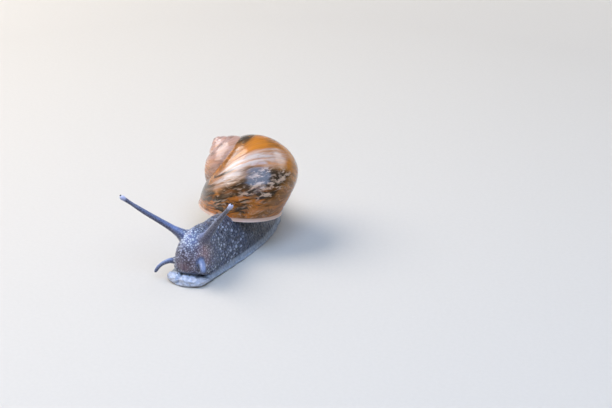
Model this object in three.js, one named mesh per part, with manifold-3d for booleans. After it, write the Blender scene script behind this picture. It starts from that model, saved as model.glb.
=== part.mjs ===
// A garden snail, life size, crawling with its feelers out.
// Millimetres, +Z up. The head points to -Y and the snail's left side is +X.
// The flesh is one body that thin cuts divide into its named parts, and the shell is one solid.
import * as THREE from "three";
import { mergeVertices } from "three/addons/utils/BufferGeometryUtils.js";
import Module from "manifold-3d";

const wasm = await Module();
wasm.setup();

// ---- Driving dimensions -------------------------------------------------------------------

const CUT = 0.12; // width of the thin cuts, and the clearance between shell and flesh

// Stations along the body, counted from the middle of the shell.
const FOOT_FRONT = -43;
const TAIL_TIP = 34;
const SNOUT_CUT = -38.4;
const NECK_CUT = -32.5;
const TRUNK_CUT = -14;
const TAIL_CUT = 15;

const SOLE_HEIGHT = 1.7; // thickness of the foot plate

// The shell: a tube that grows by one ratio for each turn round its axis.
const SHELL = {
  turns: 4,
  growthPerTurn: 2.02,
  tubeRadial: 9.7, // the tube's half-width at the aperture, away from the axis
  tubeAxial: 14.3, // its half-height there, along the axis
  offset: 9.65, // from the axis to the tube's middle
  drop: 19.8, // from the apex down to the tube's middle
  lastDrop: 2.2, // how far the last stretch sinks below the spiral
  sectionTurn: 0.44, // the oval's tilt, in radians
  wall: 1,
  hollowRows: 2, // depth of the hollow behind the lip, in steps of the spiral
  lipReach: 0.6, // how far the last whorl runs on past the axis
  lipTilt: 52, // how far the lip's plane leans along the axis, in degrees
  lipBack: 16.5, // how far its outer edge is drawn back, in degrees
  swing: -5, // how far the apex points back from the snail's right, in degrees
  pitch: 3.4, // how far the front of the aperture is raised, in degrees
  roll: -3, // how far its left side is raised, in degrees
};
const SHELL_MIDDLE = new THREE.Vector3(-0.06, -0.43, 30.0); // the middle of its box, and its top

const AROUND_SHELL = 20;
const STEPS_PER_TURN = 14;
const AROUND_BODY = 24;
const AROUND_STALK = 10;

// ---- Solids -------------------------------------------------------------------------------

// A closed solid from a geometry.
function solidOf(geometry) {
  const bare = geometry.clone();
  bare.deleteAttribute("normal");
  bare.deleteAttribute("uv");
  const merged = mergeVertices(bare, 1e-3);
  const made = new wasm.Manifold(
    new wasm.Mesh({
      numProp: 3,
      vertProperties: new Float32Array(merged.getAttribute("position").array),
      triVerts: new Uint32Array(merged.index.array),
    }),
  );
  return made;
}

// A geometry from a closed solid.
function geometryOf(solid) {
  const mesh = solid.getMesh();
  return new THREE.BufferGeometry()
    .setAttribute("position", new THREE.BufferAttribute(mesh.vertProperties, 3))
    .setIndex(new THREE.BufferAttribute(mesh.triVerts, 1));
}

// The largest separate body of a solid, so that no crumb is left where a cut only grazes a piece.
function largest(solid) {
  const whole = solidOf(geometryOf(solid));
  return whole.decompose().reduce((a, b) => (a.volume() > b.volume() ? a : b));
}

function middleOf(ring) {
  const sum = new THREE.Vector3();
  ring.forEach((point) => sum.add(point));
  return sum.divideScalar(ring.length);
}

// A closed skin over rings of points: a sphere's mesh, with its rows laid on the rings and its
// poles on the middles of the first and the last.
function loft(rings) {
  const around = rings[0].length;
  const last = rings.length + 1;
  const sphere = new THREE.SphereGeometry(1, around, last);
  const position = sphere.getAttribute("position");
  for (let row = 0; row <= last; row++) {
    const ring = rings[THREE.MathUtils.clamp(row - 1, 0, rings.length - 1)];
    const pole = row === 0 || row === last ? middleOf(ring) : null;
    for (let i = 0; i <= around; i++) {
      const point = pole ?? ring[i % around];
      position.setXYZ(row * (around + 1) + i, point.x, point.y, point.z);
    }
  }
  const made = solidOf(sphere);
  return made.volume() > 0 ? made : loft([...rings].reverse());
}

// A box that holds everything between two stations along the body.
const FAR = 200;
function between(low, high) {
  const box = new THREE.BoxGeometry(FAR, high - low, FAR);
  return solidOf(box.translate(0, (low + high) / 2, 0));
}

// A size that varies smoothly along the body, from [station, value] pairs.
function along(...pairs) {
  const stations = pairs.map(([station]) => station);
  const values = pairs.map(([, value]) => value);
  const cubic = new THREE.CubicInterpolant(stations, values, 1);
  return (station) => cubic.evaluate(station)[0];
}

// Stations from one end to the other, closer together near both ends.
function stations(low, high, count) {
  return Array.from({ length: count }, (_, i) => {
    const share = (1 - Math.cos((Math.PI * (i + 0.35)) / (count - 0.3))) / 2;
    return THREE.MathUtils.lerp(low, high, share);
  });
}

// ---- Foot ---------------------------------------------------------------------------------

const footHalfWidth = along(
  [FOOT_FRONT, 5.8], [-35, 6.5], [-26, 7.5], [-12, 8.9], [2, 9.2],
  [14, 7.6], [24, 4.6], [TAIL_TIP, 1.6],
);

// The body bends: the head looks a little to the snail's left and the tail lies to its right.
const midline = along(
  [FOOT_FRONT, 0.5], [-34, 0.5], [-22, 0.3], [-10, -0.1], [0, -1.0],
  [10, -2.7], [22, -5.8], [TAIL_TIP, -9.6],
);

// How far a rounded end has filled out, at a distance in from it.
function roundEnd(distance, radius) {
  const share = THREE.MathUtils.clamp(distance / radius, 0, 1);
  return Math.sqrt(1 - (1 - share) ** 2);
}

function footWidthAt(station) {
  const ends = roundEnd(station - FOOT_FRONT, 3.2) * roundEnd(TAIL_TIP - station, 3);
  return Math.max(0.9, footHalfWidth(station) * ends);
}

// The plate is thicker in front, where it swells out from under the chin.
const plateHeight = along(
  [FOOT_FRONT, 2.2], [-41.5, 2.5], [-39.5, 2.4], [-36, SOLE_HEIGHT], [TAIL_TIP, SOLE_HEIGHT],
);

// The plate's edge, as shares of its rounding and of its height: up the fringe from the sole.
const FRINGE = [[0.62, 0], [0.14, 0.16], [0, 0.44], [0.14, 0.7], [0.75, 1]];

function footRing(station) {
  const half = footWidthAt(station);
  const x = midline(station);
  const rounding = Math.min(1, half / 1.8);
  const height = plateHeight(station);
  const right = FRINGE.map(([inward, share]) => [half - inward * rounding, share * height]);
  const left = right.map(([across, z]) => [-across, z]).reverse();
  const flats = (z, side) => [0.55, 0, -0.55].map((share) => [side * share * half, z]);
  const outline = [...right, ...flats(height, 1), ...left, ...flats(0, -1)];
  return outline.map(([across, z]) => new THREE.Vector3(x + across, station, z));
}

const foot = loft(stations(FOOT_FRONT, TAIL_TIP, 26).map(footRing));

// ---- Head, neck, trunk and tail -----------------------------------------------------------

const TORSO_FRONT = -41;
const TORSO_BASE = SOLE_HEIGHT + CUT;

const backHeight = along(
  [TORSO_FRONT, 7.6], [-40.4, 9.8], [-39, 12.0], [-36.8, 14.2], [-34, 14.9], [-30, 14.4],
  [-24, 13.6], [-14, 12.2], [0, 11.4], [10, 9.4], [17, 7.2], [24, 4.9], [30, 3.2], [TAIL_TIP, 2.1],
);
const chinHeight = along(
  [TORSO_FRONT, 5.9], [-40.4, 4.8], [-39, 3.8], [-37, 2.8], [-35.5, TORSO_BASE],
  [TAIL_TIP, TORSO_BASE],
);
const bodyHalfWidth = along(
  [TORSO_FRONT, 1.4], [-40.4, 3.2], [-39, 4.5], [-36, 5.2], [-32, 5.4], [-24, 6.0],
  [-14, 7.2], [0, 7.7], [10, 6.7], [17, 5.2], [25, 3.1], [TAIL_TIP, 0.8],
);
// How far the flank spreads out to meet the foot's fringe: not at all under the chin.
const flankSpread = along([TORSO_FRONT, 0], [-38, 0], [-34, 0.8], [-30, 1], [TAIL_TIP, 1]);

function torsoRing(station) {
  const half = bodyHalfWidth(station);
  const plate = plateHeight(station) + CUT;
  const base = Math.max(plate, chinHeight(station));
  const top = backHeight(station);
  const skirt = Math.max(0, footWidthAt(station) - FRINGE.at(-1)[0] - half);
  const x = midline(station);
  return Array.from({ length: AROUND_BODY }, (_, i) => {
    const turn = (2 * Math.PI * i) / AROUND_BODY;
    const rise = Math.sin(turn);
    const lift = Math.max(0, rise);
    const spread = skirt * flankSpread(station) * (1 - lift) ** 2.5;
    const across = (half + spread) * Math.cos(turn);
    const underside = (base - plate) * 0.5;
    const z = rise >= 0 ? base + (top - base) * rise ** 0.85 : base + underside * rise;
    return new THREE.Vector3(x + across, station, z);
  });
}

const torso = loft(stations(TORSO_FRONT, TAIL_TIP - 0.6, 32).map(torsoRing));

// ---- Feelers ------------------------------------------------------------------------------

// A tapered stalk along a curve, between two shares of its length. Radii are [share, radius].
function stalk(points, radii, from, to, rows) {
  const curve = new THREE.CatmullRomCurve3(points.map((p) => new THREE.Vector3(...p)));
  const radius = along(...radii);
  const rings = Array.from({ length: rows + 1 }, (_, row) => {
    const share = THREE.MathUtils.lerp(from, to, row / rows);
    const middle = curve.getPointAt(share);
    const heading = curve.getTangentAt(share);
    const side = new THREE.Vector3(0, 0, 1).cross(heading).normalize();
    const up = heading.clone().cross(side);
    return Array.from({ length: AROUND_STALK }, (_, i) => {
      const turn = (-2 * Math.PI * i) / AROUND_STALK;
      const out = side.clone().multiplyScalar(Math.cos(turn));
      out.addScaledVector(up, Math.sin(turn));
      return middle.clone().addScaledVector(out, radius(share));
    });
  });
  return { solid: loft(rings), curve };
}

// The right stalk is stretched further than the left one, so it is thinner.
const STALK_TIP = [[0.86, 0.58], [0.925, 0.64], [0.965, 0.74], [0.985, 0.56], [1, 0.12]];
const UPPER_RADII = {
  right: [[0, 2.3], [0.07, 1.7], [0.16, 1.2], [0.35, 0.92], [0.6, 0.77], ...STALK_TIP],
  left: [[0, 2.4], [0.07, 1.9], [0.16, 1.45], [0.35, 1.12], [0.6, 0.86], ...STALK_TIP],
};
const UPPER_CURVES = {
  right: [[-2.2, -35.2, 12.2], [-7.2, -37.4, 15.9], [-13.4, -39.7, 19.9], [-20.0, -41.5, 24.1]],
  left: [[3.4, -35.2, 11.9], [7.3, -37.5, 16.5], [12.0, -39.9, 22.5], [17.0, -41.6, 28.6]],
};
// The right one is stretched out and the left one is half drawn in, so it is shorter and thicker.
const LOWER_RADII = {
  right: [[0, 1.25], [0.3, 0.8], [0.6, 0.6], [0.88, 0.55], [0.96, 0.42], [1, 0.1]],
  left: [[0, 1.5], [0.3, 1.15], [0.6, 1.0], [0.88, 0.85], [0.96, 0.62], [1, 0.12]],
};
const LOWER_CURVES = {
  right: [[-3.0, -38.4, 5.8], [-5.4, -39.9, 5.7], [-7.6, -41.1, 4.3], [-9.0, -41.9, 2.1]],
  left: [[3.4, -37.4, 6.2], [5.5, -39.4, 6.7], [6.7, -40.9, 6.1], [7.3, -42.0, 4.9]],
};
const STALK_ROOT = 0.14; // this share of each stalk belongs to the head
const FEELER_ROOT = 0.34; // and this share of each lower feeler
const STALK_JOINT = 0.55; // and here the upper stalk is parted in two
const EYE_RADIUS = 0.3;

const flare = [];
const pieces = new Map();
const eyes = new Map();

for (const side of ["right", "left"]) {
  const { solid: root, curve } = stalk(UPPER_CURVES[side], UPPER_RADII[side], 0, STALK_ROOT, 4);
  const gap = CUT / curve.getLength();
  const lower = stalk(UPPER_CURVES[side], UPPER_RADII[side], STALK_ROOT + gap, STALK_JOINT, 6);
  const upper = stalk(UPPER_CURVES[side], UPPER_RADII[side], STALK_JOINT + gap, 1, 10);
  const out = curve.getTangentAt(1);
  const place = curve.getPointAt(0.975).addScaledVector(new THREE.Vector3(0, 0, 1), 0.42);
  const ball = (radius) => {
    const sphere = new THREE.SphereGeometry(radius, 10, 6);
    return solidOf(sphere.translate(place.x + out.x * 0.2, place.y + out.y * 0.2, place.z));
  };
  flare.push(root);
  pieces.set(`eye_stalk_${side}`, lower.solid);
  pieces.set(`eye_stalk_tip_${side}`, largest(upper.solid.subtract(ball(EYE_RADIUS + 0.03))));
  eyes.set(`eye_${side}`, ball(EYE_RADIUS));

  const stub = stalk(LOWER_CURVES[side], LOWER_RADII[side], 0, FEELER_ROOT, 3);
  const lowGap = CUT / stub.curve.getLength();
  const feeler = stalk(LOWER_CURVES[side], LOWER_RADII[side], FEELER_ROOT + lowGap, 1, 8);
  flare.push(stub.solid);
  pieces.set(`feeler_${side}`, feeler.solid);
}

// ---- Shell --------------------------------------------------------------------------------

// A point of the spiral tube in the shell's own frame, apex up on +Z: growth is counted in
// turns from the aperture, and section is the angle round the tube.
function shellPoint(growth, section, inflate) {
  const scale = SHELL.growthPerTurn ** growth;
  const radial = (SHELL.tubeRadial + inflate / scale) * Math.cos(section);
  const axial = (SHELL.tubeAxial + inflate / scale) * Math.sin(section);
  const cos = Math.cos(SHELL.sectionTurn);
  const sin = Math.sin(SHELL.sectionTurn);
  const r = scale * (SHELL.offset + radial * cos - axial * sin);
  const sink = SHELL.lastDrop * THREE.MathUtils.smoothstep(growth, -0.3, 0.05);
  const z = scale * (-SHELL.drop + radial * sin + axial * cos) - sink;
  const turn = -2 * Math.PI * growth;
  return new THREE.Vector3(r * Math.cos(turn), r * Math.sin(turn), z);
}

// The lip lies in one plane, on which the whole shell can rest: the lip is drawn back at its
// outer edge and reaches forward at the suture. This is the plane, facing out of the aperture.
const lipFacing = new THREE.Vector3(
  Math.tan(THREE.MathUtils.degToRad(SHELL.lipBack)), -1,
  -Math.tan(THREE.MathUtils.degToRad(SHELL.lipTilt)),
).normalize();
const lipMiddle = new THREE.Vector3(
  SHELL.offset, -SHELL.lipReach, -SHELL.drop - SHELL.lastDrop * 0.8,
);

// How far a growth line leans forward at a section angle, in turns, so that it is flat.
function lean(section) {
  let [low, high] = [-0.2, 0.2];
  for (let halving = 0; halving < 16; halving++) {
    const tried = (low + high) / 2;
    const past = shellPoint(tried, section, 0).sub(lipMiddle).dot(lipFacing) > 0;
    if (past) high = tried;
    else low = tried;
  }
  return low;
}

// Close to the axis a growth line hardly moves, so its lean there runs evenly from side to side.
const CORE = SHELL.offset * 0.4;
function leanAt(i) {
  const section = (2 * Math.PI * i) / AROUND_SHELL;
  const point = shellPoint(0, section, 0);
  return Math.hypot(point.x, point.y) > CORE ? lean(section) : null;
}
const freeLeans = Array.from({ length: AROUND_SHELL }, (_, i) => leanAt(i));
const LEANS = freeLeans.map((value, i) => {
  if (value !== null) return value;
  const before = freeLeans.findLastIndex((other, j) => j < i && other !== null);
  const after = freeLeans.findIndex((other, j) => j > i && other !== null);
  return THREE.MathUtils.mapLinear(i, before, after, freeLeans[before], freeLeans[after]);
});

function growthLine(growth, inflate) {
  return Array.from({ length: AROUND_SHELL }, (_, i) => {
    const section = (2 * Math.PI * i) / AROUND_SHELL;
    return shellPoint(growth + LEANS[i], section, inflate);
  });
}

// The tube between two growths. It is joined from short lengths, because it overlaps itself.
function shellTube(from, to, inflate) {
  const rows = Math.max(1, Math.round((to - from) * STEPS_PER_TURN));
  const rings = Array.from({ length: rows + 1 }, (_, row) =>
    growthLine(THREE.MathUtils.lerp(from, to, row / rows), inflate),
  );
  const lengths = [];
  const PER_LENGTH = 5;
  for (let row = 0; row < rows; row += PER_LENGTH) {
    lengths.push(loft(rings.slice(row, Math.min(row + PER_LENGTH, rows) + 1)));
  }
  return lengths.reduce((a, b) => a.add(b));
}

// The shell's frame on the body: its aperture faces down and its apex points right and back.
const apexOnLip = new THREE.Vector3(0, 0, 1).projectOnPlane(lipFacing).normalize();
const acrossLip = apexOnLip.clone().cross(lipFacing);
const swing = THREE.MathUtils.degToRad(SHELL.swing);
const apexWay = new THREE.Vector3(-Math.cos(swing), Math.sin(swing), 0);
const down = new THREE.Vector3(0, 0, -1);
const shellFrame = new THREE.Matrix4()
  .makeRotationY(THREE.MathUtils.degToRad(SHELL.roll))
  .multiply(new THREE.Matrix4().makeRotationX(-THREE.MathUtils.degToRad(SHELL.pitch)))
  .multiply(new THREE.Matrix4().makeBasis(apexWay.clone().cross(down), apexWay, down))
  .multiply(new THREE.Matrix4().makeBasis(acrossLip, apexOnLip, lipFacing).transpose());
const turned = geometryOf(shellTube(-1.2, 0, 0)).applyMatrix4(shellFrame);
turned.computeBoundingBox();
const { min: low, max: high } = turned.boundingBox;
shellFrame.premultiply(
  new THREE.Matrix4().makeTranslation(
    SHELL_MIDDLE.x - (low.x + high.x) / 2,
    SHELL_MIDDLE.y - (low.y + high.y) / 2,
    SHELL_MIDDLE.z - high.z,
  ),
);

function placed(solid) {
  const geometry = geometryOf(solid).applyMatrix4(shellFrame);
  return solidOf(geometry);
}

const RECESS = SHELL.hollowRows / STEPS_PER_TURN;

// The pillar round the axis, where the turns meet.
const PILLAR = { radius: 2.1, top: -1.2, foot: -21.8 };
const cone = new THREE.ConeGeometry(PILLAR.radius, PILLAR.top - PILLAR.foot, 12);
cone.rotateX(Math.PI / 2).translate(0, 0, (PILLAR.top + PILLAR.foot) / 2);

// The blunt tip that closes the first turn.
const tip = new THREE.SphereGeometry(0.5, 12, 8).translate(0, 0, -1.1);

const whorls = shellTube(-SHELL.turns, 0, 0).add(solidOf(cone)).add(solidOf(tip));
const before = shellTube(-SHELL.turns, -0.62, 0);
const hollow = shellTube(-RECESS, 1 / STEPS_PER_TURN, -SHELL.wall).subtract(before);
const shell = largest(placed(whorls.subtract(hollow)).simplify(0.005));

// ---- The collar that fills the aperture, and the clearances ---------------------------------

// A solid with a thin clearance round it.
function roomFor(solid) {
  const ways = [[1, 0, 0], [-1, 0, 0], [0, 1, 0], [0, -1, 0], [0, 0, 1], [0, 0, -1]];
  return ways.reduce((room, way) => room.add(solid.translate(way.map((w) => w * CUT))), solid);
}

const plug = placed(shellTube(-RECESS + 0.01, 0, -SHELL.wall).subtract(before));
const shellRoom = roomFor(shell);
const collar = largest(plug.subtract(shellRoom).subtract(foot));
const body = flare.reduce((a, b) => a.add(b), torso);
const bare = body.subtract(shellRoom).subtract(roomFor(collar));

const half = CUT / 2;
pieces.set("foot", foot);
pieces.set("snout", largest(bare.intersect(between(-FAR, SNOUT_CUT - half))));
pieces.set("head", largest(bare.intersect(between(SNOUT_CUT + half, NECK_CUT - half))));
pieces.set("neck", largest(bare.intersect(between(NECK_CUT + half, TRUNK_CUT - half))));
pieces.set("trunk", largest(bare.intersect(between(TRUNK_CUT + half, TAIL_CUT - half))));
pieces.set("tail", largest(bare.intersect(between(TAIL_CUT + half, FAR))));
pieces.set("mantle_collar", collar);

// ---- The named parts -----------------------------------------------------------------------

const skin = new THREE.MeshStandardMaterial({ color: 0x4a5262, roughness: 0.4 });
const pale = new THREE.MeshStandardMaterial({ color: 0x8c93a6, roughness: 0.45 });
const mantle = new THREE.MeshStandardMaterial({ color: 0x77705f, roughness: 0.4 });
const horn = new THREE.MeshStandardMaterial({ color: 0xa8652a, roughness: 0.35 });
const pupil = new THREE.MeshStandardMaterial({ color: 0x0c0b0d, roughness: 0.15 });

const materialOf = { foot: pale, mantle_collar: mantle };

const snail = new THREE.Group();
const add = (name, solid, material) => {
  const mesh = new THREE.Mesh(geometryOf(solid), material);
  mesh.name = name;
  snail.add(mesh);
};
pieces.forEach((solid, name) => add(name, solid, materialOf[name] ?? skin));
eyes.forEach((solid, name) => add(name, solid, pupil));
add("shell", shell, horn);

// The origin is on the floor, in the middle of the whole snail's box.
const middle = new THREE.Box3().setFromObject(snail).getCenter(new THREE.Vector3());
snail.children.forEach((mesh) => mesh.geometry.translate(-middle.x, -middle.y, 0));

export default snail;
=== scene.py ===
# %% [markdown]
# # A garden snail, crawling
# A brown garden snail, life size: a shell of four whorls, 33 mm across, on a soft body
# 77 mm long. The solids that physics uses are loaded first, and every visible piece is built
# round them, in metres and in the same place.
#
# Three kinds of thing are seen: one skin with no seam, two eyes and the shell.

# %% The fixed frame
import math

import bmesh
import bpy
import numpy as np
from mathutils import Matrix, Vector, noise


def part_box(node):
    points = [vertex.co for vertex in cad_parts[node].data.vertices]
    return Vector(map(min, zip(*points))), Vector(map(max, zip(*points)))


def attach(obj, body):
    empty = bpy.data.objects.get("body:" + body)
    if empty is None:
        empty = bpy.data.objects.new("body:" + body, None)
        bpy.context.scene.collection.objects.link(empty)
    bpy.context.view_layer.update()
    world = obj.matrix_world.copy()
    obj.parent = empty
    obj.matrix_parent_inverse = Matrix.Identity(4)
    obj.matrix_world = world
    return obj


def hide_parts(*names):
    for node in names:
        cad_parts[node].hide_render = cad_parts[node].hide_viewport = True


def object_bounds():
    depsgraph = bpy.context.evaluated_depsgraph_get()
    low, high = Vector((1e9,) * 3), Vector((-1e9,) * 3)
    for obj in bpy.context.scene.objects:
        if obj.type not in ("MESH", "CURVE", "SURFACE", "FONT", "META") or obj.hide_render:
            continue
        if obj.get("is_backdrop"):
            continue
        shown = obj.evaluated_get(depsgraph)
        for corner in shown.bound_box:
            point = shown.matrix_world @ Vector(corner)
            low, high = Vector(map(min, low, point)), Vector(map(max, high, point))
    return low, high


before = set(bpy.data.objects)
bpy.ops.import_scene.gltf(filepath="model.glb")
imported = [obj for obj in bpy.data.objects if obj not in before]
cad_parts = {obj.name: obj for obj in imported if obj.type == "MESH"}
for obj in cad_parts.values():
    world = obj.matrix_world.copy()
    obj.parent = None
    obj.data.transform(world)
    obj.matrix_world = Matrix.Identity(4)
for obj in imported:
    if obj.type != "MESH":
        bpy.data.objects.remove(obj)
cad_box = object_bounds()
print("solids:", len(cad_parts))

# %% [markdown]
# ## Small helpers
# All shapes are worked out in millimetres and become metres when they are laid on a mesh.

# %% Units and smooth steps
MM = 0.001


def smooth(value, low, high):
    """0 below low, 1 above high, and an even ease between them."""
    share = np.clip((np.asarray(value, float) - low) / (high - low), 0, 1)
    return share * share * (3 - 2 * share)


def hump(distance, width):
    """1 where the distance is nought, fading to 0 within about twice the width."""
    return np.exp(-((distance / width) ** 2))


def mix(a, b, share):
    return a + (b - a) * share


# %% A size that varies along the body
def along(*pairs):
    """A smooth curve through (station, value) pairs, level beyond both ends."""
    at, value = (np.array(column, float) for column in zip(*pairs))

    def size(station):
        x = np.clip(np.asarray(station, float), at[0], at[-1])
        i = np.clip(np.searchsorted(at, x, side="right"), 1, len(at) - 1)
        before = np.where(i > 1, i - 2, i)
        after = np.where(i < len(at) - 1, i + 1, i - 1)
        step = at[i] - at[i - 1]
        lead = step / 2 / (at[i - 1] - at[before])
        trail = step / 2 / (at[after] - at[i])
        p = (x - at[i - 1]) / step
        return (
            value[before] * (-lead * p**3 + 2 * lead * p**2 - lead * p)
            + value[i - 1] * ((1 + lead) * p**3 - (1.5 + 2 * lead) * p**2 + (lead - 0.5) * p + 1)
            + value[i] * ((-1 - trail) * p**3 + (1.5 + trail) * p**2 + 0.5 * p)
            + value[after] * (trail * p**3 - trail * p**2)
        )

    return size


# %% Working on a mesh
def only(piece):
    """Selects this object alone and makes it the active one."""
    bpy.ops.object.select_all(action="DESELECT")
    piece.select_set(True)
    bpy.context.view_layer.objects.active = piece
    return piece


def places(mesh):
    """The vertices of a mesh, in millimetres."""
    flat = np.empty(len(mesh.vertices) * 3, np.float32)
    mesh.vertices.foreach_get("co", flat)
    return flat.reshape(-1, 3).astype(float) / MM


def lay(mesh, points):
    """Moves the vertices of a mesh to these points, in millimetres."""
    mesh.vertices.foreach_set("co", (points * MM).astype(np.float32).ravel())
    mesh.update()


def outward(mesh):
    """The normal at each vertex."""
    flat = np.empty(len(mesh.vertices) * 3, np.float32)
    mesh.vertex_normals.foreach_get("vector", flat)
    return flat.reshape(-1, 3).astype(float)


def keep(mesh, name, values):
    """Stores one number for each vertex, for the materials to read."""
    layer = mesh.attributes.get(name) or mesh.attributes.new(name, "FLOAT", "POINT")
    layer.data.foreach_set("value", np.asarray(values, np.float32))


def kept(mesh, name):
    values = np.empty(len(mesh.vertices), np.float32)
    mesh.attributes[name].data.foreach_get("value", values)
    return values.astype(float)


def apply(piece, kind, **settings):
    """Adds one modifier to a piece and applies it."""
    only(piece)
    modifier = piece.modifiers.new(kind.title(), kind)
    for name, value in settings.items():
        setattr(modifier, name, value)
    bpy.ops.object.modifier_apply(modifier=modifier.name)


def edit(piece, action="SELECT"):
    """Opens a piece in edit mode with all of it selected, or none."""
    only(piece)
    bpy.ops.object.mode_set(mode="EDIT")
    bpy.ops.mesh.select_all(action=action)


def done():
    bpy.ops.object.mode_set(mode="OBJECT")


def facing_out(piece):
    edit(piece)
    bpy.ops.mesh.normals_make_consistent(inside=False)
    done()


def report(mesh):
    """Prints how fine a mesh is, and its box in millimetres."""
    points = places(mesh)
    triangles = sum(len(face.vertices) - 2 for face in mesh.polygons)
    print(mesh.name, "has", len(points), "points and", triangles, "triangles")
    print("from", points.min(0).round(2), "to", points.max(0).round(2))


# %% [markdown]
# ## Camera, floor and light
# The camera looks down on the head from the snail's left, half a metre away, with a long lens.
# One large soft panel stands to the snail's right, so that the glossy whorls carry one broad
# white highlight. A cool panel over its left gives the skin a wet blue sheen, a weak one behind
# draws the back's edge, and a wide ceiling fills the shadows.

# %% Placing what looks at the snail
def way_to(azimuth, elevation):
    """A direction: degrees from the head to the snail's left, and up."""
    a, e = math.radians(azimuth), math.radians(elevation)
    return Vector((math.sin(a) * math.cos(e), -math.cos(a) * math.cos(e), math.sin(e)))


def looking_back(name, data, way, place):
    """A camera or lamp at a place in millimetres, looking back along its way."""
    holder = bpy.data.objects.new(name, data)
    holder.location = place * MM
    holder.rotation_euler = way.to_track_quat("Z", "Y").to_euler()
    bpy.context.scene.collection.objects.link(holder)
    return holder


# %% Camera
AZIMUTH, ELEVATION = 26, 24
DISTANCE, LENS, SENSOR = 495, 95, 36
AIM = Vector((18.387, 9.9, 10.0))

back = way_to(AZIMUTH, ELEVATION)
camera = looking_back("camera", bpy.data.cameras.new("camera"), back, AIM + back * DISTANCE)
camera.data.lens = LENS
camera.data.sensor_width = SENSOR
bpy.context.scene.camera = camera
print("camera at", [round(v, 4) for v in camera.location])

# %% Floor
bpy.ops.object.select_all(action="DESELECT")
bpy.ops.mesh.primitive_circle_add(vertices=96, radius=3, fill_type="NGON")
floor = bpy.context.object
floor.name = "floor"
floor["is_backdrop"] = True


# %% Light
def panel(name, azimuth, elevation, distance, size, power, colour):
    """A soft oval panel that faces the snail."""
    way = way_to(azimuth, elevation)
    lamp = bpy.data.lights.new(name, "AREA")
    lamp.shape = "ELLIPSE"
    lamp.size, lamp.size_y = (side * MM for side in size)
    lamp.energy = power
    lamp.color = colour
    looking_back(name, lamp, way, way * distance)


panel("sky_panel", -86, 46, 700, (760, 520), 5.8, (1.0, 0.98, 0.97))
panel("cool_top", 40, 64, 700, (700, 560), 5.0, (0.42, 0.61, 1.0))
panel("back_rim", 150, 38, 800, (500, 300), 0.9, (0.90, 0.95, 1.0))
panel("ceiling", 0, 88, 2600, (4200, 4200), 7.0, (1.0, 0.99, 0.97))

world = bpy.data.worlds.new("studio")
world.use_nodes = True
bpy.context.scene.world = world
bpy.context.scene.view_settings.view_transform = "Standard"

# %% [markdown]
# ## The shell
# The real shell is one tube that a growing animal lays down at its mouth: each turn is twice
# as large as the last, and every growth line is a copy of the last one, turned and
# grown. So it is modelled the same way, only backwards: the mouth's outline is extruded,
# turned a few degrees round the axis and shrunk towards the apex, nearly 300 times.
# Screw or spin would give a tube of one width, and sculpting would lose the exact spiral.

# %% The spiral's sizes
TURNS, RATIO = 4, 2.02
TUBE_RADIAL, TUBE_AXIAL = 9.7, 14.3
OFFSET, DROP, LAST_DROP = 9.65, 19.8, 2.2
OVAL_TURN = 0.44
WALL = 1.0
LIP_REACH, LIP_TILT, LIP_BACK = 0.6, math.radians(52), math.radians(16.5)
SWING, PITCH, ROLL = math.radians(-5), math.radians(3.4), math.radians(-3)
BODY_SHIFT = np.array([1.4869, 4.5, 0])  # from the stations along the body to the frame
SHELL_MIDDLE = np.array([-0.06, -0.43, 30.0]) + BODY_SHIFT


def last_sink(growth):
    """How far the last stretch of the tube sinks below the spiral."""
    return LAST_DROP * smooth(growth, -0.3, 0.05)


def spiral_point(growth, section, inset=0.0, sink=True):
    """A point of the tube, with the axis on Z and the apex up. Growth counts turns from the
    lip, and section is the angle round the tube."""
    scale = RATIO ** np.asarray(growth, float)
    radial = (TUBE_RADIAL - inset / scale) * np.cos(section)
    axial = (TUBE_AXIAL - inset / scale) * np.sin(section)
    cos, sin = math.cos(OVAL_TURN), math.sin(OVAL_TURN)
    r = scale * (OFFSET + radial * cos - axial * sin)
    z = scale * (-DROP + radial * sin + axial * cos) - (last_sink(growth) if sink else 0)
    turn = -2 * math.pi * growth
    return np.stack([r * np.cos(turn), r * np.sin(turn), z], -1)


# %% The plane of the lip
MOST_LEAN, HALVINGS, NEAR_AXIS = 0.2, 16, 0.4
lip_facing = Vector((math.tan(LIP_BACK), -1, -math.tan(LIP_TILT))).normalized()
lip_middle = np.array([OFFSET, -LIP_REACH, -DROP - LAST_DROP * 0.8])


def leans(section):
    """How far a growth line leans forward at each section angle, in turns, so that the lip is
    flat. Close to the axis the lean runs evenly from side to side."""
    low, high = np.full(section.shape, -MOST_LEAN), np.full(section.shape, MOST_LEAN)
    for _ in range(HALVINGS):
        tried = (low + high) / 2
        past = (spiral_point(tried, section) - lip_middle) @ np.array(lip_facing) > 0
        low, high = np.where(past, low, tried), np.where(past, tried, high)
    start = spiral_point(0 * section, section)
    free = np.hypot(start[:, 0], start[:, 1]) > OFFSET * NEAR_AXIS
    return np.interp(section, section[free], low[free], period=2 * math.pi)


AROUND, CLOSER_OUTSIDE = 64, 0.42  # points on a ring, and how they crowd on its outer face
step = np.linspace(-math.pi, math.pi, AROUND, endpoint=False)
SECTIONS = step - CLOSER_OUTSIDE * np.sin(step)
LEANS = leans(SECTIONS)


def growth_line(growth, inset=0.0, sink=True):
    """One whole ring of the tube."""
    return spiral_point(growth + LEANS, SECTIONS, inset, sink)


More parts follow.
